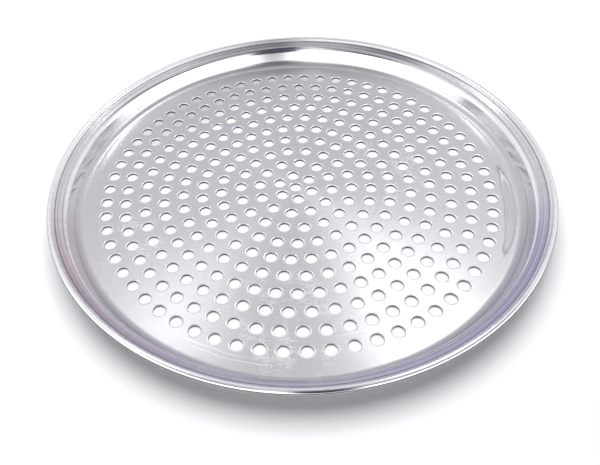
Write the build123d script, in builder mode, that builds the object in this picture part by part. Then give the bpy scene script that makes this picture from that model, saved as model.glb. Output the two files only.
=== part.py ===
import os
from math import cos, radians, sin, tan

from build123d import *

# Driving dimensions in millimetres, angles in degrees. The origin is the middle of the underside.
rim_diameter = 317.5
pan_height = 18.2
sheet = 0.95
lip_width = 6.1
lip_drop = 5.5
lip_bend_radius = 6.5
wall_angle = 70.0
cove_radius = 6.0

# Wired edge: the sheet rises from a crease and curls over a round steel wire.
wire_diameter = 2.0
wire_clearance = 0.05
crease_radius = 1.5
crease_rise = 1.6
curl_start = 145.0
curl_turn = 285.0

# Perforations: one in the middle, then rings from the middle outwards, each with its count and first angle.
hole_diameter = 7.5
hole_sides = 8
first_ring_radius = 11.3
ring_margin = 13.94
ring_counts = (6, 12, 18, 25, 32, 36, 44, 48, 55, 62)
ring_starts = (38.5, 23.0, 18.0, 11.5, 8.0, 4.0, 0.0, 4.5, 3.0, 5.0)

os.makedirs("parts", exist_ok=True)


def on_curl(angle):
    """A point of the curl's middle line, by its angle round the wire."""
    return curl_x + curl_radius * cos(radians(angle)), curl_z + curl_radius * sin(radians(angle))


# The profile is drawn along the middle of the sheet, so half a sheet lies on each side of it.
half_sheet = sheet / 2
curl_radius = wire_diameter / 2 + wire_clearance + half_sheet
curl_x = rim_diameter / 2 - half_sheet - curl_radius
curl_z = pan_height - half_sheet - curl_radius

# Corners of the profile from the rim inwards: end of the rise, crease, lip bend, foot of the wall.
rise_angle = curl_start - 90
rise_top = on_curl(curl_start)
crease_x = rise_top[0] - crease_rise * cos(radians(rise_angle))
crease_z = rise_top[1] - crease_rise * sin(radians(rise_angle))
lip = (crease_x - lip_width, pan_height - lip_drop)
foot = (lip[0] - (lip[1] - half_sheet) / tan(radians(wall_angle)), half_sheet)

# The cove is tangent to the flat base here.
bend_radius = cove_radius + half_sheet
base_radius = foot[0] - bend_radius * tan(radians(wall_angle / 2))
plate_radius = base_radius - sheet
ring_pitch = (base_radius - ring_margin - first_ring_radius) / (len(ring_counts) - 1)
print("flat base radius", round(base_radius, 2), "ring pitch", round(ring_pitch, 2))

# The pan: one spun sheet with a perforated base, a coved flared wall, a flatter lip and a curled edge.
with BuildPart() as pan_body:
    # Eight flats to each hole, as wide across the flats as the round one, keep this many holes light.
    with BuildSketch():
        Circle(plate_radius)
        RegularPolygon(hole_diameter / 2, hole_sides, major_radius=False, mode=Mode.SUBTRACT)
        for ring, (count, start) in enumerate(zip(ring_counts, ring_starts)):
            with PolarLocations(first_ring_radius + ring * ring_pitch, count, start_angle=start):
                RegularPolygon(hole_diameter / 2, hole_sides, major_radius=False, mode=Mode.SUBTRACT)
    extrude(amount=sheet)

    with BuildSketch(Plane.XZ):
        with BuildLine():
            FilletPolyline(
                (plate_radius, half_sheet), foot, lip, (crease_x, crease_z), rise_top,
                radius=[bend_radius, lip_bend_radius, crease_radius],
            )
            CenterArc((curl_x, curl_z), curl_radius, curl_start, -curl_turn)
        trace(line_width=sheet)
    revolve(axis=Axis.Z)
pan_body.part.label = "pan_body"
export_step(pan_body.part, "parts/pan_body.step")

# The stiffening wire, closed into a ring inside the curled edge.
with BuildPart() as rim_wire:
    with BuildSketch(Plane.XZ):
        with Locations((curl_x, curl_z)):
            Circle(wire_diameter / 2)
    revolve(axis=Axis.Z)
rim_wire.part.label = "rim_wire"
export_step(rim_wire.part, "parts/rim_wire.step")
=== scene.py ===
from math import atan2, cos, pi, radians, sin, tan

import bpy
import bmesh
from mathutils import Matrix, Vector


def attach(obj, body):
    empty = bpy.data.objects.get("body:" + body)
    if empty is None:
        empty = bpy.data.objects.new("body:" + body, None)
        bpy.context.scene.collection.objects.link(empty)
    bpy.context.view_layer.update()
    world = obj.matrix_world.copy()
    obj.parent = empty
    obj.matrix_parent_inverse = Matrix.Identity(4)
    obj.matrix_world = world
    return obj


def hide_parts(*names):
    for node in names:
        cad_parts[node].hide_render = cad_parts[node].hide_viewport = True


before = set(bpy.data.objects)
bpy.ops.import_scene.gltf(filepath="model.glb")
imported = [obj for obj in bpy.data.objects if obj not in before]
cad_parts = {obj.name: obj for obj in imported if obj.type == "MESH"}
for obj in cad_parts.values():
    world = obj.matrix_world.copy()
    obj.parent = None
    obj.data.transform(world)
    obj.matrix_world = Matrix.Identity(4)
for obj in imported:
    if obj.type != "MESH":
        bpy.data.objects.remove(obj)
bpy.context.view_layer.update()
scene = bpy.context.scene
scene.view_settings.view_transform = "Standard"
mm = 0.001
print("frame loaded with", sorted(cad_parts))


# a socket by its place in the node, or by its name or identifier
def socketNamed(sockets, key):
    if isinstance(key, int):
        return sockets[key]
    return next(s for s in sockets if key in (s.identifier, s.name) and s.enabled)


# inputs give each socket a value, the socket it is wired from, or a list of those
def addNode(tree, kind, inputs=None, **settings):
    node = tree.nodes.new(kind)
    for name, value in settings.items():
        setattr(node, name, value)
    for key, value in (inputs or {}).items():
        sources = value if isinstance(value, list) else [value]
        for source in sources:
            socket = socketNamed(node.inputs, key)
            if isinstance(source, bpy.types.NodeSocket):
                tree.links.new(source, socket)
            else:
                socket.default_value = source
    return node


def out(node, key=0):
    return socketNamed(node.outputs, key)


def newTree(name, kind, inputs, outputs):  # inputs: (name, socket type, value)
    tree = bpy.data.node_groups.new(name, kind)
    for label, socketType, *value in inputs:
        socket = tree.interface.new_socket(label, in_out="INPUT", socket_type=socketType)
        if value:
            socket.default_value = value[0]
    for label, socketType in outputs:
        tree.interface.new_socket(label, in_out="OUTPUT", socket_type=socketType)
    return tree


# the modifiers' result becomes the object's own mesh
def bake(obj):
    graph = bpy.context.evaluated_depsgraph_get()
    mesh = bpy.data.meshes.new_from_object(obj.evaluated_get(graph), depsgraph=graph)
    obj.modifiers.clear()
    obj.data = mesh


# arithmetic for the node trees, with values or sockets
def mathNode(tree, operation, a, b=0.0, c=0.0, clamp=False):
    return out(addNode(tree, "ShaderNodeMath", {0: a, 1: b, 2: c}, operation=operation, use_clamp=clamp))


def vecNode(tree, operation, a, b=(0, 0, 0)):
    node = addNode(tree, "ShaderNodeVectorMath", {0: a, 1: b}, operation=operation)
    return node.outputs["Value" if operation in ("LENGTH", "DISTANCE") else "Vector"]


def scaled(tree, vector, factor):
    return out(addNode(tree, "ShaderNodeVectorMath", {0: vector, "Scale": factor}, operation="SCALE"))


# a smooth step from one value to the other, which may also run downwards
def rangeNode(tree, value, fromMin, fromMax, toMin=0.0, toMax=1.0):
    inputs = {"Value": value, "From Min": fromMin, "From Max": fromMax, "To Min": toMin, "To Max": toMax}
    return out(addNode(tree, "ShaderNodeMapRange", inputs, interpolation_type="SMOOTHSTEP"), "Result")


def blend(tree, factor, first, second):
    first, second = ((*c, 1) if isinstance(c, tuple) else c for c in (first, second))
    colours = {"Factor": factor, "A_Color": first, "B_Color": second}
    return out(addNode(tree, "ShaderNodeMix", colours, data_type="RGBA"), "Result_Color")


# how far a bearing lies from another, whichever way round is shorter
def awayFrom(tree, bearing, middle):
    turn = mathNode(tree, "WRAP", mathNode(tree, "SUBTRACT", bearing, middle), pi, -pi)
    return mathNode(tree, "ABSOLUTE", turn)


# the bearing of a point round the Z axis, from +X towards +Y
def bearingOf(tree, split):
    return mathNode(tree, "ARCTAN2", out(split, "Y"), out(split, "X"))


# the length of (a, b)
def lengthOf(tree, a, b):
    squares = mathNode(tree, "ADD", mathNode(tree, "MULTIPLY", a, a), mathNode(tree, "MULTIPLY", b, b))
    return mathNode(tree, "SQRT", squares)


# 1 from low to high, with soft ends
def between(tree, value, low, high, softness):
    return mathNode(tree, "MULTIPLY", rangeNode(tree, value, low, low + softness),
                    rangeNode(tree, value, high, high - softness))


# 1 close to a value, fading out from the inner distance to the outer one
def closeTo(tree, value, middle, outer, inner):
    return rangeNode(tree, mathNode(tree, "ABSOLUTE", mathNode(tree, "SUBTRACT", value, middle)), outer, inner)


# a new material's tree, its shader and its Object coordinates
def newFinish(name):
    material = bpy.data.materials.new(name)
    material.use_nodes = True
    tree = material.node_tree
    return material, tree, tree.nodes["Principled BSDF"], out(addNode(tree, "ShaderNodeTexCoord"), "Object")


# rings left by the spinning tool: noise that runs fast across the radius and slowly round it
spinGrain = newTree("spinGrain", "ShaderNodeTree",
    [("Vector", "NodeSocketVector"), ("Rings", "NodeSocketFloat", 2500.0), ("Drift", "NodeSocketFloat", 1.5)],
    [("Grain", "NodeSocketFloat"), ("Radius", "NodeSocketFloat")])
g = spinGrain
gIn = addNode(g, "NodeGroupInput")
flat = vecNode(g, "MULTIPLY", out(gIn, "Vector"), (1, 1, 0))
radius = vecNode(g, "LENGTH", flat)
around = scaled(g, vecNode(g, "NORMALIZE", flat), out(gIn, "Drift"))
ringHeight = mathNode(g, "MULTIPLY", radius, out(gIn, "Rings"))
ringPlace = vecNode(g, "ADD", around, out(addNode(g, "ShaderNodeCombineXYZ", {"Z": ringHeight})))
ringNoise = addNode(g, "ShaderNodeTexNoise", {"Vector": ringPlace, "Scale": 1.0, "Detail": 3.0, "Roughness": 0.6})
addNode(g, "NodeGroupOutput", {"Grain": mathNode(g, "SUBTRACT", out(ringNoise), 0.5), "Radius": radius})


# fine scratches: thin bright crests of a stretched, warped noise, kept only in patches
fineScratches = newTree("fineScratches", "ShaderNodeTree",
    [("Vector", "NodeSocketVector"), ("Turn", "NodeSocketFloat", 0.0), ("Scale", "NodeSocketFloat", 60.0),
     ("Stretch", "NodeSocketFloat", 0.08), ("Width", "NodeSocketFloat", 0.02), ("Patches", "NodeSocketFloat", 0.55)],
    [("Lines", "NodeSocketFloat")])
g = fineScratches
gIn = addNode(g, "NodeGroupInput")
turned = addNode(g, "ShaderNodeVectorRotate", {"Vector": out(gIn, "Vector"), "Angle": out(gIn, "Turn")},
                 rotation_type="Z_AXIS")
warp = addNode(g, "ShaderNodeTexNoise", {"Vector": out(turned), "Scale": 18.0, "Detail": 1.0})
bent = vecNode(g, "ADD", out(turned), scaled(g, out(warp, "Color"), 0.004))     # no line is quite straight
squeeze = addNode(g, "ShaderNodeCombineXYZ", {"X": out(gIn, "Stretch"), "Y": 1.0, "Z": 1.0})
squeezed = vecNode(g, "MULTIPLY", bent, out(squeeze))
crests = addNode(g, "ShaderNodeTexNoise", {"Vector": squeezed, "Scale": out(gIn, "Scale"), "Detail": 2.0})
ridge = mathNode(g, "ABSOLUTE", mathNode(g, "SUBTRACT", out(crests), 0.5))
line = mathNode(g, "SUBTRACT", 1.0, mathNode(g, "DIVIDE", ridge, out(gIn, "Width")), clamp=True)
patch = addNode(g, "ShaderNodeTexNoise", {"Vector": out(gIn, "Vector"), "Scale": 45.0, "Detail": 3.0})
kept = rangeNode(g, out(patch), out(gIn, "Patches"), mathNode(g, "ADD", out(gIn, "Patches"), 0.12))
addNode(g, "NodeGroupOutput", {"Lines": mathNode(g, "MULTIPLY", line, kept)})
print("shared finishes built")


# the pan: a spun sheet with rings of punched holes and a curled rim
pan = {
    "rimDiameter": 317.5 * mm, "height": 18.2 * mm, "sheet": 0.95 * mm,
    "lipWidth": 6.1 * mm, "lipDrop": 5.5 * mm, "lipBend": 6.5 * mm,
    "wallAngle": 70.0, "cove": 6.0 * mm,
    "wire": 2.0 * mm, "wireGap": 0.05 * mm, "creaseBend": 1.5 * mm, "creaseRise": 1.6 * mm,
    "curlStart": 145.0, "curlTurn": 285.0,
    "arcStep": 5.0, "curlStep": 9.0,                 # degrees of bend in each facet of the section
    "spinSteps": 256,                                # facets round the pan
    "hole": 7.5 * mm, "holeSteps": 20, "burr": 0.06 * mm,
    "rollWidth": 0.75 * mm, "rollDepth": 0.3 * mm, "rollPull": 0.12,     # pull: 0 is a full roll, 0.5 a chamfer
    "weld": 0.002 * mm,                              # vertices closer than this become one
    "sharpBend": 50.0, "flatBend": 1.0,              # degrees past which an edge stays crisp, and beside a flat face
    "firstRing": 11.3 * mm, "ringMargin": 13.94 * mm,
    "ringCounts": (6, 12, 18, 25, 32, 36, 44, 48, 55, 62),
    "ringStarts": (38.5, 23.0, 18.0, 11.5, 8.0, 4.0, 0.0, 4.5, 3.0, 5.0),
}


# a fillet as (x, z, direction) along the middle of the sheet
def bendPoints(before, corner, after, radius, step):
    inward = atan2(corner[1] - before[1], corner[0] - before[0])
    outward = atan2(after[1] - corner[1], after[0] - corner[0])
    turn = outward - inward
    side = 1 if turn > 0 else -1
    reach = radius * tan(abs(turn) / 2)
    start = (corner[0] - reach * cos(inward), corner[1] - reach * sin(inward))
    centre = (start[0] - side * radius * sin(inward), start[1] + side * radius * cos(inward))
    count = max(2, round(abs(turn) / radians(step)))
    points = []
    for k in range(count + 1):
        angle = inward + turn * k / count
        points.append((centre[0] + side * radius * sin(angle), centre[1] - side * radius * cos(angle), angle))
    return points


# the edge of the sheet's section, from the flat base out to the curl's free end and back underneath
def sheetSection(p):
    half = p["sheet"] / 2
    curl = p["wire"] / 2 + p["wireGap"] + half
    cx = p["rimDiameter"] / 2 - half - curl
    cz = p["height"] - half - curl
    start = radians(p["curlStart"])
    rise = start - pi / 2
    riseTop = (cx + curl * cos(start), cz + curl * sin(start))
    crease = (riseTop[0] - p["creaseRise"] * cos(rise), riseTop[1] - p["creaseRise"] * sin(rise))
    lip = (crease[0] - p["lipWidth"], p["height"] - p["lipDrop"])
    foot = (lip[0] - (lip[1] - half) / tan(radians(p["wallAngle"])), half)
    bend = p["cove"] + half
    baseRadius = foot[0] - bend * tan(radians(p["wallAngle"]) / 2)
    plateRadius = baseRadius - p["sheet"]
    middle = [(plateRadius, half, 0.0)]
    middle += bendPoints((plateRadius, half), foot, lip, bend, p["arcStep"])
    middle += bendPoints(foot, lip, crease, p["lipBend"], p["arcStep"])
    middle += bendPoints(lip, crease, riseTop, p["creaseBend"], p["arcStep"])
    count = round(p["curlTurn"] / p["curlStep"])
    for k in range(count + 1):
        angle = start - radians(p["curlTurn"]) * k / count
        middle.append((cx + curl * cos(angle), cz + curl * sin(angle), angle - pi / 2))
    top = [(x - half * sin(angle), z + half * cos(angle)) for x, z, angle in middle]
    under = [(x + half * sin(angle), z - half * cos(angle)) for x, z, angle in reversed(middle)]
    return top + under, plateRadius, baseRadius


def buildSpunSheet():
    tree = newTree("spunSheet", "GeometryNodeTree",
        [("Section", "NodeSocketGeometry"), ("Plate Radius", "NodeSocketFloat"), ("Sheet", "NodeSocketFloat"),
         ("Spin Steps", "NodeSocketInt"), ("Hole Radius", "NodeSocketFloat"), ("Hole Steps", "NodeSocketInt"),
         ("Roll Width", "NodeSocketFloat"), ("Roll Depth", "NodeSocketFloat"), ("Burr", "NodeSocketFloat"),
         ("First Ring", "NodeSocketFloat"), ("Ring Pitch", "NodeSocketFloat"), ("Finish", "NodeSocketMaterial")]
        + [(f"Ring {i + 1} Holes", "NodeSocketInt") for i in range(len(pan["ringCounts"]))]
        + [(f"Ring {i + 1} Turn", "NodeSocketFloat") for i in range(len(pan["ringCounts"]))],
        [("Sheet", "NodeSocketGeometry")])
    gIn = addNode(tree, "NodeGroupInput")

    def size(name):
        return out(gIn, name)

    def point(x, y):
        return out(addNode(tree, "ShaderNodeCombineXYZ", {"X": x, "Y": y}))

    def circle(radius):
        inputs = {"Resolution": size("Hole Steps"), "Radius": radius}
        return out(addNode(tree, "GeometryNodeCurvePrimitiveCircle", inputs))

    # the section is laid flat and carried round a circle as wide as the perforated plate
    toAxis = addNode(tree, "ShaderNodeCombineXYZ", {"X": mathNode(tree, "MULTIPLY", size("Plate Radius"), -1.0)})
    section = addNode(tree, "GeometryNodeTransform", {"Geometry": size("Section"), "Translation": out(toAxis)})
    laid = addNode(tree, "GeometryNodeTransform", {"Geometry": out(section), "Rotation": (pi / 2, 0, 0)})
    profile = addNode(tree, "GeometryNodeMeshToCurve", {"Mesh": out(laid)})
    rail = addNode(tree, "GeometryNodeCurvePrimitiveCircle",
                   {"Resolution": size("Spin Steps"), "Radius": size("Plate Radius")})
    rim = addNode(tree, "GeometryNodeCurveToMesh", {"Curve": out(rail), "Profile Curve": out(profile)})

    # hole centres: one in the middle and then the rings
    centres = [out(addNode(tree, "GeometryNodeMeshLine", {"Count": 1}))]
    for i in range(len(pan["ringCounts"])):
        ringRadius = mathNode(tree, "MULTIPLY_ADD", size("Ring Pitch"), float(i), size("First Ring"))
        ring = addNode(tree, "GeometryNodeMeshCircle", {"Vertices": size(f"Ring {i + 1} Holes"), "Radius": ringRadius})
        turn = addNode(tree, "ShaderNodeCombineXYZ", {"Z": size(f"Ring {i + 1} Turn")})
        centres.append(out(addNode(tree, "GeometryNodeTransform", {"Geometry": out(ring), "Rotation": out(turn)})))
    places = out(addNode(tree, "GeometryNodeJoinGeometry", {"Geometry": centres}))

    def plate(holeRadius):  # the disc with its holes left open
        loops = addNode(tree, "GeometryNodeInstanceOnPoints", {"Points": places, "Instance": circle(holeRadius)})
        loops = addNode(tree, "GeometryNodeRealizeInstances", {"Geometry": out(loops)})
        both = addNode(tree, "GeometryNodeJoinGeometry", {"Geometry": [out(rail), out(loops)]})
        return out(addNode(tree, "GeometryNodeFillCurve", {"Curve": out(both)}))

    topRadius = mathNode(tree, "ADD", size("Hole Radius"), size("Roll Width"))
    underRadius = mathNode(tree, "ADD", size("Hole Radius"), size("Burr"))
    lift = addNode(tree, "ShaderNodeCombineXYZ", {"Z": size("Sheet")})
    top = addNode(tree, "GeometryNodeTransform", {"Geometry": plate(topRadius), "Translation": out(lift)})
    under = addNode(tree, "GeometryNodeFlipFaces", {"Mesh": plate(underRadius)})

    # collar of a hole: the punched wall, then the edge that the punch rolled over; it is drawn with height as -Y
    rollFoot = mathNode(tree, "SUBTRACT", size("Roll Depth"), size("Sheet"))
    topY = mathNode(tree, "MULTIPLY", size("Sheet"), -1.0)
    wall = addNode(tree, "GeometryNodeCurvePrimitiveLine",
                   {"Start": point(size("Burr"), 0.0), "End": point(0.0, rollFoot)})
    pull = point(mathNode(tree, "MULTIPLY", size("Roll Width"), pan["rollPull"]),
                 mathNode(tree, "MULTIPLY_ADD", size("Roll Depth"), pan["rollPull"], topY))
    roll = addNode(tree, "GeometryNodeCurveQuadraticBezier",
                   {"Resolution": 2, "Start": point(0.0, rollFoot), "Middle": pull,
                    "End": point(size("Roll Width"), topY)})
    holeRail = circle(size("Hole Radius"))
    bands = []
    for line, edge in ((out(wall), 1.0), (out(roll), 0.5)):     # 1 is torn metal, 0.5 is burnished
        band = addNode(tree, "GeometryNodeCurveToMesh", {"Curve": holeRail, "Profile Curve": line})
        marked = addNode(tree, "GeometryNodeStoreNamedAttribute",
                         {"Geometry": out(band), "Name": "cutEdge", "Value": edge}, data_type="FLOAT", domain="FACE")
        bands.append(out(marked))
    collar = addNode(tree, "GeometryNodeJoinGeometry", {"Geometry": bands})
    collars = addNode(tree, "GeometryNodeInstanceOnPoints", {"Points": places, "Instance": out(collar)})

    parts = addNode(tree, "GeometryNodeJoinGeometry", {"Geometry": [out(rim), out(top), out(under), out(collars)]})
    whole = addNode(tree, "GeometryNodeRealizeInstances", {"Geometry": out(parts)})
    welded = addNode(tree, "GeometryNodeMergeByDistance", {"Geometry": out(whole), "Distance": pan["weld"]})
    smooth = addNode(tree, "GeometryNodeSetShadeSmooth", {"Geometry": out(welded)})
    finished = addNode(tree, "GeometryNodeSetMaterial", {"Geometry": out(smooth), "Material": size("Finish")})
    addNode(tree, "NodeGroupOutput", {"Sheet": out(finished)})
    return tree


def fillInputs(modifier, values):
    for item in modifier.node_group.interface.items_tree:
        if item.item_type == "SOCKET" and item.in_out == "INPUT" and item.name in values:
            modifier[item.identifier] = values[item.name]


# the finish of the sheet; bearings are in degrees from +X towards +Y, seen from above
finish = {
    "satin": (0.62, 0.622, 0.63), "wall": (0.97, 0.972, 0.98),
    "lip": (0.68, 0.682, 0.69), "bead": (0.94, 0.942, 0.95),
    # the torn hole walls are dark as painted shade in the holes as well as torn metal
    "burnished": (0.88, 0.88, 0.885), "tornAndShaded": (0.08, 0.08, 0.085),
    # the darkest tone below paints the dark reflection line round the curl and the darker crease line
    "scratch": (0.92, 0.92, 0.93), "darkLineTone": (0.04, 0.04, 0.045),
    # where the satin base turns into the wall, the lip and the bead
    "wallHeights": (3.0 * mm, 6.0 * mm), "lipHeights": (12.7 * mm, 13.8 * mm), "beadRadii": (154.1 * mm, 154.8 * mm),

    "anisotropy": 0.5, "baseRoughness": 0.29, "wallRoughness": 0.12, "polishHeights": (3.0 * mm, 5.5 * mm),
    "tornRoughness": 0.5, "grainRoughness": 0.08, "bandRoughness": 0.06, "scratchRoughness": 0.15,
    "flankRoughness": 0.28, "flank": (153.8 * mm, 155.6 * mm, 0.4 * mm),     # the curl's inner side: radii, soft edge

    # broad rings from the forming tool, and wiping marks that run outwards
    "bands": {"Rings": 1000.0, "Drift": 0.9}, "streaks": {"Rings": 70.0, "Drift": 38.0},
    # heights between which they gain depth, then their depth below and above
    "bandShade": (6.0 * mm, 13.0 * mm, 0.05, 1.3), "streakShade": (1.5 * mm, 8.0 * mm, 0.06, 0.22),

    "scratches": {"Turn": 0.15, "Scale": 300.0, "Stretch": 0.2, "Width": 0.045, "Patches": 0.46},
    "crossed": {"Turn": 1.7, "Scale": 340.0, "Stretch": 0.18, "Width": 0.04, "Patches": 0.5},
    "scratchCover": 0.7, "scratchDepth": 0.6, "relief": {"Strength": 0.05, "Distance": 0.02 * mm},
    # worn spots of the base, where the scratches gather: x, y and reach
    "wornSpots": ((-0.010, -0.108, 0.055), (0.062, 0.018, 0.040), (-0.105, -0.045, 0.03)),
    "wornCore": 0.35, "wornElsewhere": 0.12,

    # a painted reflection beside the right wall: a dark patch with a darker rim, standing in for a dark object mirrored
    # in the cove, and a painted highlight at its far end; its edge, rim and bright inner edge are shares of its size
    "darkReflectionPatch": {"bearing": -10.0, "halfAngle": 17.0, "radius": 135.8 * mm, "halfWidth": 3.7 * mm, "wobble": 0.5,
                  "edge": (1.05, 0.95), "rim": (0.84, 0.92), "glintStart": (0.6, 0.75), "glintEnd": (0.9, 0.82),
                  "glintSide": (0.1, 0.9), "glintCover": 0.8, "tone": 0.9, "rimTone": 0.72},
    "rippleScale": 60.0,

    # scars of the forming tool: radius, bearing, half angle
    "toolScars": ((131.6 * mm, -112.0, 13.0), (134.4 * mm, -106.0, 12.0), (118.0 * mm, -72.0, 9.0)),
    "scarEdges": (0.35 * mm, 0.1 * mm), "scarWander": 3.0 * mm, "scarCore": 0.5, "scarCover": 0.8,

    # painted reflections on the lip: pink and lilac tints of the room mirrored in it, and a brightening band at the
    # lip's bend that is a painted highlight; bearing, half angle, lowest and highest edge, tint over the metal below
    "paintedTints": ((-42.0, 48.0, 12.6 * mm, 16.6 * mm, (0.95, 0.94, 1.02)),
              (229.0, 28.0, 13.7 * mm, 16.6 * mm, (0.98, 0.90, 0.93)),
              (237.0, 28.0, 12.7 * mm, 13.6 * mm, (1.4, 1.25, 1.3))),
    "paintedTintCore": 0.4, "paintedTintEdge": 0.35 * mm,

    # a thin dark line painted round the curl's outer side, a painted reflection of shade standing in for the curl
    # mirroring the shaded floor, and a darker line along the crease beside the curl
    "paintedDarkLine": (16.95 * mm, 0.4 * mm, 0.2 * mm), "paintedDarkLineRadii": (157.0 * mm, 157.3 * mm), "paintedDarkLineCover": 0.85,
    "crease": (153.9 * mm, 0.5 * mm, 0.2 * mm), "creaseCover": 0.5,
}

sheetFinish, t, shader, place = newFinish("spunAluminium")
shader.inputs["Metallic"].default_value = 1.0
shader.inputs["Anisotropic"].default_value = finish["anisotropy"]
shader.inputs["Anisotropic Rotation"].default_value = 0.25
tangent = addNode(t, "ShaderNodeTangent", direction_type="RADIAL", axis="Z")
t.links.new(out(tangent), shader.inputs["Tangent"])
rings = addNode(t, "ShaderNodeGroup", {"Vector": place}, node_tree=spinGrain)
bands = addNode(t, "ShaderNodeGroup", {"Vector": place, **finish["bands"]}, node_tree=spinGrain)
streaks = addNode(t, "ShaderNodeGroup", {"Vector": place, **finish["streaks"]}, node_tree=spinGrain)
scratches = addNode(t, "ShaderNodeGroup", {"Vector": place, **finish["scratches"]}, node_tree=fineScratches)
crossed = addNode(t, "ShaderNodeGroup", {"Vector": place, **finish["crossed"]}, node_tree=fineScratches)
split = addNode(t, "ShaderNodeSeparateXYZ", {"Vector": place})
height, radius, bearing = out(split, "Z"), out(rings, "Radius"), bearingOf(t, split)
onBead = rangeNode(t, radius, *finish["beadRadii"])
onLip = rangeNode(t, height, *finish["lipHeights"])
onWall = rangeNode(t, height, *finish["wallHeights"])

# scratches, only on the base and mostly in its worn spots
worn = finish["wornElsewhere"]
for x, y, reach in finish["wornSpots"]:
    away = vecNode(t, "DISTANCE", vecNode(t, "MULTIPLY", place, (1, 1, 0)), (x, y, 0))
    worn = mathNode(t, "MAXIMUM", worn, rangeNode(t, away, reach, reach * finish["wornCore"]))
lines = mathNode(t, "MAXIMUM", out(scratches), out(crossed))
lines = mathNode(t, "MULTIPLY", lines, mathNode(t, "MULTIPLY", worn, mathNode(t, "SUBTRACT", 1.0, onWall)))

# painted reflection: a dull patch with a dark rim, standing in for a dark object mirrored in the cove, and a painted
# highlight along the inner edge at its far end
reflectionPatch = finish["darkReflectionPatch"]
ripple = addNode(t, "ShaderNodeTexNoise", {"Vector": place, "Scale": finish["rippleScale"], "Detail": 2.0})
ripple = mathNode(t, "SUBTRACT", out(ripple), 0.5)
sideways = mathNode(t, "SUBTRACT", bearing, radians(reflectionPatch["bearing"]))
sideways = mathNode(t, "DIVIDE", sideways, radians(reflectionPatch["halfAngle"]))
outward = mathNode(t, "DIVIDE", mathNode(t, "SUBTRACT", radius, reflectionPatch["radius"]), reflectionPatch["halfWidth"])
off = mathNode(t, "MULTIPLY_ADD", ripple, reflectionPatch["wobble"], lengthOf(t, sideways, outward))
paintedReflection = rangeNode(t, off, *reflectionPatch["edge"])
paintedReflectionRim = mathNode(t, "MULTIPLY", rangeNode(t, off, *reflectionPatch["rim"]), paintedReflection)
paintedGlint = mathNode(t, "MULTIPLY", rangeNode(t, off, *reflectionPatch["glintStart"]), rangeNode(t, off, *reflectionPatch["glintEnd"]))
paintedGlint = mathNode(t, "MULTIPLY", paintedGlint, rangeNode(t, sideways, *reflectionPatch["glintSide"]))

cutEdge = out(addNode(t, "ShaderNodeAttribute", attribute_name="cutEdge"), "Fac")
rolled = rangeNode(t, cutEdge, 0.3, 0.45)     # 0.5 is burnished and 1 is torn
tornAndShaded = rangeNode(t, cutEdge, 0.7, 0.9)

rough = rangeNode(t, height, *finish["polishHeights"], finish["baseRoughness"], finish["wallRoughness"])
rough = mathNode(t, "MULTIPLY_ADD", out(rings, "Grain"), finish["grainRoughness"], rough)
rough = mathNode(t, "MULTIPLY_ADD", out(bands), finish["bandRoughness"], rough)
rough = mathNode(t, "MULTIPLY_ADD", lines, finish["scratchRoughness"], rough)
rough = mathNode(t, "MULTIPLY_ADD", between(t, radius, *finish["flank"]), finish["flankRoughness"], rough)
rough = addNode(t, "ShaderNodeMix", {"Factor": tornAndShaded, "A_Float": rough, "B_Float": finish["tornRoughness"]})
t.links.new(out(rough, "Result_Float"), shader.inputs["Roughness"])

tint = blend(t, onWall, finish["satin"], finish["wall"])
tint = blend(t, onLip, tint, finish["lip"])
tint = blend(t, onBead, tint, finish["bead"])
# painted reflection and painted highlight of the dark patch beside the right wall
tint = blend(t, paintedReflection, tint, scaled(t, tint, reflectionPatch["tone"]))
tint = blend(t, paintedReflectionRim, tint, scaled(t, tint, reflectionPatch["rimTone"]))
tint = blend(t, mathNode(t, "MULTIPLY", paintedGlint, reflectionPatch["glintCover"]), tint, finish["scratch"])
tint = blend(t, mathNode(t, "MULTIPLY", lines, finish["scratchCover"]), tint, finish["scratch"])
wander = mathNode(t, "MULTIPLY_ADD", ripple, finish["scarWander"], radius)
for scarRadius, middle, halfAngle in finish["toolScars"]:
    ends = awayFrom(t, bearing, radians(middle))
    ends = rangeNode(t, ends, radians(halfAngle), radians(halfAngle * finish["scarCore"]))
    scar = mathNode(t, "MULTIPLY", closeTo(t, wander, scarRadius, *finish["scarEdges"]), ends)
    tint = blend(t, mathNode(t, "MULTIPLY", scar, finish["scarCover"]), tint, finish["scratch"])
# painted reflections: the lip's pink and lilac tints and the painted highlight at its bend are multiplied into its
# colour
for middle, halfAngle, low, high, colour in finish["paintedTints"]:
    paintedTint = awayFrom(t, bearing, radians(middle))
    paintedTint = rangeNode(t, paintedTint, radians(halfAngle), radians(halfAngle * finish["paintedTintCore"]))
    paintedTint = mathNode(t, "MULTIPLY", paintedTint, between(t, height, low, high, finish["paintedTintEdge"]))
    paintedTint = mathNode(t, "MULTIPLY", paintedTint, mathNode(t, "SUBTRACT", 1.0, onBead))
    tint = blend(t, paintedTint, tint, vecNode(t, "MULTIPLY", tint, colour))
# painted reflection: a dark line round the curl's outer side
darkLineMask = closeTo(t, height, *finish["paintedDarkLine"])
darkLineMask = mathNode(t, "MULTIPLY", darkLineMask, rangeNode(t, radius, *finish["paintedDarkLineRadii"]))
tint = blend(t, mathNode(t, "MULTIPLY", darkLineMask, finish["paintedDarkLineCover"]), tint, finish["darkLineTone"])
# a darker line along the crease beside the curl
crease = closeTo(t, radius, *finish["crease"])
tint = blend(t, mathNode(t, "MULTIPLY", crease, finish["creaseCover"]), tint, finish["darkLineTone"])
shade = mathNode(t, "MULTIPLY_ADD", out(bands), rangeNode(t, height, *finish["bandShade"]), 1.0)
shade = mathNode(t, "MULTIPLY_ADD", out(streaks), rangeNode(t, height, *finish["streakShade"]), shade)
tint = scaled(t, tint, shade)
tint = blend(t, rolled, tint, finish["burnished"])
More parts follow.
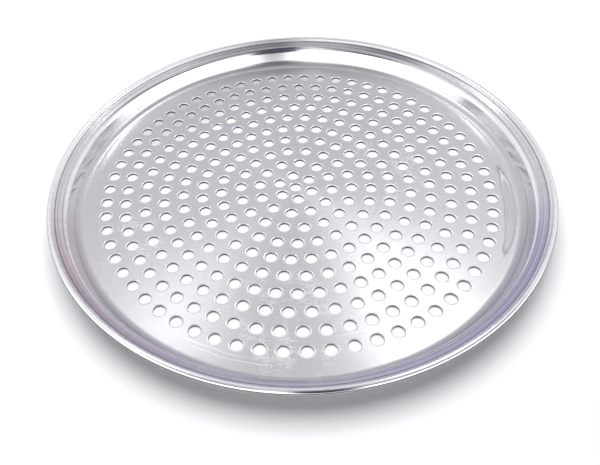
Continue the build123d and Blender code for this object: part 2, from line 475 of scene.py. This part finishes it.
# the punched walls: torn metal, rough, and darkened far below the metal's tone as painted shade in the holes
tint = blend(t, tornAndShaded, tint, finish["tornAndShaded"])
t.links.new(tint, shader.inputs["Base Color"])

relief = mathNode(t, "MULTIPLY_ADD", lines, -finish["scratchDepth"], out(rings, "Grain"))
bump = addNode(t, "ShaderNodeBump", {"Height": relief, **finish["relief"]})
t.links.new(out(bump), shader.inputs["Normal"])

# the section is spun by the node tree and the result becomes a plain mesh
outline, plateRadius, baseRadius = sheetSection(pan)
sectionMesh = bpy.data.meshes.new("panSheet")
sectionMesh.from_pydata([(x, 0, z) for x, z in outline], [(i, i + 1) for i in range(len(outline) - 1)], [])
panSheet = bpy.data.objects.new("panSheet", sectionMesh)
scene.collection.objects.link(panSheet)
ringPitch = (baseRadius - pan["ringMargin"] - pan["firstRing"]) / (len(pan["ringCounts"]) - 1)
spun = panSheet.modifiers.new("spunSheet", "NODES")
spun.node_group = buildSpunSheet()
values = {"Plate Radius": plateRadius, "Sheet": pan["sheet"], "Spin Steps": pan["spinSteps"],
          "Hole Radius": pan["hole"] / 2, "Hole Steps": pan["holeSteps"], "Roll Width": pan["rollWidth"],
          "Roll Depth": pan["rollDepth"], "Burr": pan["burr"], "First Ring": pan["firstRing"],
          "Ring Pitch": ringPitch, "Finish": sheetFinish}
for i, (holes, start) in enumerate(zip(pan["ringCounts"], pan["ringStarts"])):
    values[f"Ring {i + 1} Holes"] = holes
    values[f"Ring {i + 1} Turn"] = radians(start)
fillInputs(spun, values)
bake(panSheet)

# crisp edges: where a flat face meets the rolled edge of a hole, and the sheet's own cut edges
shape = bmesh.new()
shape.from_mesh(panSheet.data)
openEdges = 0
for edge in shape.edges:
    if len(edge.link_faces) != 2:
        openEdges += 1
        continue
    bent = edge.calc_face_angle(0)
    flatOnes = sum(abs(face.normal.z) > 0.99999 for face in edge.link_faces)
    edge.smooth = not (bent > radians(pan["sharpBend"]) or (flatOnes == 1 and bent > radians(pan["flatBend"])))
shape.to_mesh(panSheet.data)
print("pan sheet:", len(shape.faces), "faces,", sum(len(face.verts) - 2 for face in shape.faces), "triangles,",
      openEdges, "open edges, volume in mm3", round(shape.calc_volume() / mm ** 3))
shape.free()
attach(panSheet, "root")
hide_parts("pan_body")


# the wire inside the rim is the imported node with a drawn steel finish; die lines run along it
wire = {
    "steel": (0.60, 0.60, 0.60), "dull": (0.43, 0.42, 0.41),
    "roughness": 0.34, "lineRoughness": 0.12, "dullRoughness": 0.16,
    "dieLines": {"Rings": 6000.0, "Drift": 5.0}, "dullSpots": {"Scale": 320.0, "Detail": 4.0}, "dullFrom": (0.42, 0.62),
    "relief": {"Strength": 0.15, "Distance": 0.02 * mm},
}

wireFinish, t, shader, place = newFinish("drawnWire")
shader.inputs["Metallic"].default_value = 1.0
drawn = addNode(t, "ShaderNodeGroup", {"Vector": place, **wire["dieLines"]}, node_tree=spinGrain)
dull = addNode(t, "ShaderNodeTexNoise", {"Vector": place, **wire["dullSpots"]})
dull = rangeNode(t, out(dull), *wire["dullFrom"])
t.links.new(blend(t, dull, wire["steel"], wire["dull"]), shader.inputs["Base Color"])
rough = mathNode(t, "MULTIPLY_ADD", out(drawn, "Grain"), wire["lineRoughness"], wire["roughness"])
t.links.new(mathNode(t, "MULTIPLY_ADD", dull, wire["dullRoughness"], rough), shader.inputs["Roughness"])
bump = addNode(t, "ShaderNodeBump", {"Height": out(drawn, "Grain"), **wire["relief"]})
t.links.new(out(bump), shader.inputs["Normal"])
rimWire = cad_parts["rim_wire"]
rimWire.data.materials.clear()
rimWire.data.materials.append(wireFinish)
print("rim wire finished")


# floor, light and camera
studio = {
    "floorSize": 6.0, "floorDrop": 0.35 * mm,
    "paper": (0.86, 0.86, 0.87), "paperForLight": (0.30, 0.30, 0.31),     # as it is seen, and as it lights the pan
    "paperMirrored": 0.35,                       # how far the metal mirrors the seen tone
    "whiteFrom": (0.26, 0.42),                   # where the floor runs out into the white backdrop
    # painted shadow: the floor's colour is darkened by place under the far rings, as if little light reached it there;
    # bearing, half angle and radii of that darkening
    "paintedShadowBearing": 113.0, "paintedShadowHalfAngle": 60.0, "paintedShadowCore": 0.35, "paintedShadowDepth": 0.45,
    "paintedShadowStart": (86.0 * mm, 118.0 * mm), "paintedShadowEnd": (148.0 * mm, 140.0 * mm),
    "lamps": (                                   # place, width, watts, and whether the metal mirrors it
        ("softRight", (0.61, 1.51, 2.41), 0.42, 3.9, True),
        ("softLeft", (-0.71, 1.45, 2.48), 0.36, 1.9, True),
        ("softKey", (-0.08, 0.46, 1.74), 2.0, 39.0, False),     # it only gives the floor its soft shadow
    ),
}

floorMesh = bpy.data.meshes.new("floor")
half = studio["floorSize"] / 2
floorMesh.from_pydata([(-half, -half, 0), (half, -half, 0), (half, half, 0), (-half, half, 0)], [], [(0, 1, 2, 3)])
floor = bpy.data.objects.new("floor", floorMesh)
floor.location.z = -studio["floorDrop"]
scene.collection.objects.link(floor)
floorFinish, t, shader, place = newFinish("paleFloor")
shader.inputs["Roughness"].default_value = 0.9
shader.inputs["Specular IOR Level"].default_value = 0.0
rays = addNode(t, "ShaderNodeLightPath")
mirrored = mathNode(t, "MULTIPLY", out(rays, "Is Glossy Ray"), studio["paperMirrored"])
seen = mathNode(t, "MAXIMUM", out(rays, "Is Camera Ray"), mirrored)
paper = blend(t, seen, studio["paperForLight"], studio["paper"])
reach = vecNode(t, "LENGTH", place)
bearing = bearingOf(t, addNode(t, "ShaderNodeSeparateXYZ", {"Vector": place}))
# painted shadow: the floor's colour darkens by bearing and reach under the far rings
turn = awayFrom(t, bearing, radians(studio["paintedShadowBearing"]))
halfAngle = radians(studio["paintedShadowHalfAngle"])
paintedShadow = mathNode(t, "MULTIPLY", rangeNode(t, turn, halfAngle, halfAngle * studio["paintedShadowCore"]),
                 rangeNode(t, reach, *studio["paintedShadowStart"]))
paintedShadow = mathNode(t, "MULTIPLY", paintedShadow, rangeNode(t, reach, *studio["paintedShadowEnd"]))
paper = scaled(t, paper, mathNode(t, "MULTIPLY_ADD", paintedShadow, -studio["paintedShadowDepth"], 1.0))
far = mathNode(t, "MULTIPLY", rangeNode(t, reach, *studio["whiteFrom"]), out(rays, "Is Camera Ray"))
t.links.new(blend(t, far, paper, (0.0, 0.0, 0.0)), shader.inputs["Base Color"])
t.links.new(blend(t, far, (0.0, 0.0, 0.0), (1.0, 1.0, 1.0)), shader.inputs["Emission Color"])
shader.inputs["Emission Strength"].default_value = 1.0
floorMesh.materials.append(floorFinish)
print("floor laid")

# the room that the metal mirrors, as soft patches of sky; the floor and the camera don't see it
room = {
    "overhead": (0.75, 0.755, 0.78), "level": (0.84, 0.84, 0.87), "overheadFrom": (70.0, 79.0),
    "fill": (0.26, 0.262, 0.276),                # what the floor gets beside the key light
    # compass (0 is +Y, 90 is +X), height, half width, half height, softness, colour
    "patches": (
        ("pinkHaze", 14, 12, 17, 20, 0.5, (0.66, 0.56, 0.61)),
        ("lilacHaze", -10, 12, 20, 21, 0.5, (0.55, 0.54, 0.67)),
        ("windowRight", 122, 8, 44, 28, 0.2, (1.65, 1.65, 1.67)),
        ("windowLeft", -122, 8, 44, 28, 0.2, (1.65, 1.65, 1.67)),
        ("windowBehind", 180, 14, 70, 32, 0.25, (1.7, 1.7, 1.72)),
        ("ceilingEdge", 180, 66, 75, 18, 0.4, (0.36, 0.36, 0.39)),
        ("darkGap", 170, 36, 14, 28, 0.3, (0.07, 0.07, 0.1)),
        ("rightRail", 105, 47, 44, 6.5, 0.5, (0.1, 0.1, 0.13)),
        ("leftRail", -134, 50, 20, 7.5, 0.5, (0.05, 0.05, 0.08)),
        ("beamAbove", 5, 79, 62, 9, 0.5, (0.42, 0.42, 0.45)),
        ("beamEnd", -48, 74, 13, 6, 0.5, (0.12, 0.12, 0.15)),
        ("beamMiddle", 33, 83, 26, 6, 0.5, (0.12, 0.12, 0.15)),
        ("gapTop", 171, 68, 24, 13, 0.4, (0.08, 0.08, 0.11)),
        ("ceilingPanel", -165, 66, 9, 12, 0.6, (0.95, 0.95, 0.97)),
    ),
}

roomPatch = newTree("roomPatch", "ShaderNodeTree",
    [("Compass", "NodeSocketFloat"), ("Height", "NodeSocketFloat"), ("Centre", "NodeSocketFloat"),
     ("Level", "NodeSocketFloat"), ("Half Width", "NodeSocketFloat", 0.3), ("Half Height", "NodeSocketFloat", 0.3),
     ("Softness", "NodeSocketFloat", 0.3)],
    [("Mask", "NodeSocketFloat")])
g = roomPatch
gIn = addNode(g, "NodeGroupInput")
sideways = mathNode(g, "WRAP", mathNode(g, "SUBTRACT", out(gIn, "Compass"), out(gIn, "Centre")), pi, -pi)
sideways = mathNode(g, "DIVIDE", sideways, out(gIn, "Half Width"))
upward = mathNode(g, "SUBTRACT", out(gIn, "Height"), out(gIn, "Level"))
upward = mathNode(g, "DIVIDE", upward, out(gIn, "Half Height"))
outerEdge = mathNode(g, "ADD", 1.0, out(gIn, "Softness"))
innerEdge = mathNode(g, "SUBTRACT", 1.0, out(gIn, "Softness"))
addNode(g, "NodeGroupOutput", {"Mask": rangeNode(g, lengthOf(g, sideways, upward), outerEdge, innerEdge)})

world = bpy.data.worlds.new("studio")
scene.world = world
world.use_nodes = True
t = world.node_tree
rays = addNode(t, "ShaderNodeLightPath")
split = addNode(t, "ShaderNodeSeparateXYZ", {"Vector": out(addNode(t, "ShaderNodeTexCoord"), "Generated")})
compass = mathNode(t, "ARCTAN2", out(split, "X"), out(split, "Y"))
height = mathNode(t, "ARCSINE", out(split, "Z"))
overhead = rangeNode(t, height, *(radians(angle) for angle in room["overheadFrom"]))
tone = blend(t, overhead, room["level"], room["overhead"])
for name, centre, level, halfWidth, halfHeight, softness, colour in room["patches"]:
    angles = {"Centre": centre, "Level": level, "Half Width": halfWidth, "Half Height": halfHeight}
    angles = {key: radians(angle) for key, angle in angles.items()}
    patch = addNode(t, "ShaderNodeGroup", {"Compass": compass, "Height": height, **angles, "Softness": softness},
                    node_tree=roomPatch, label=name)
    tone = blend(t, out(patch), tone, colour)
tone = blend(t, out(rays, "Is Diffuse Ray"), tone, room["fill"])
tone = blend(t, out(rays, "Is Camera Ray"), tone, (1.0, 1.0, 1.0))
t.links.new(tone, t.nodes["Background"].inputs["Color"])

for name, spot, width, watts, mirrored in studio["lamps"]:
    lamp = bpy.data.lights.new(name, "AREA")
    lamp.shape = "DISK"
    lamp.size = width
    lamp.energy = watts
    holder = bpy.data.objects.new(name, lamp)
    holder.location = spot
    holder.rotation_euler = (-Vector(spot)).to_track_quat("-Z", "Y").to_euler()
    holder.visible_glossy = mirrored
    scene.collection.objects.link(holder)
print("room and lamps set")

# the camera looks down and a little aside, with its frame shifted as in the photograph
view = {"place": (0.0, -0.2982, 0.28635), "down": 48.116, "yaw": -3.346, "roll": -1.015,
        "lens": 37.164, "shiftX": 0.066, "shiftY": 0.0043, "nearest": 0.01}
ahead = Vector((0, cos(radians(view["down"])), -sin(radians(view["down"]))))
right = Vector((1, 0, 0))
above = right.cross(ahead)
yaw, roll = radians(view["yaw"]), radians(view["roll"])
ahead, right = cos(yaw) * ahead + sin(yaw) * right, cos(yaw) * right - sin(yaw) * ahead
right, above = cos(roll) * right + sin(roll) * above, cos(roll) * above - sin(roll) * right
lens = bpy.data.cameras.new("camera")
lens.lens = view["lens"]
lens.shift_x, lens.shift_y = view["shiftX"], view["shiftY"]
lens.clip_start = view["nearest"]
camera = bpy.data.objects.new("camera", lens)
camera.matrix_world = Matrix.Translation(view["place"]) @ Matrix((right, above, -ahead)).transposed().to_4x4()
scene.collection.objects.link(camera)
scene.camera = camera
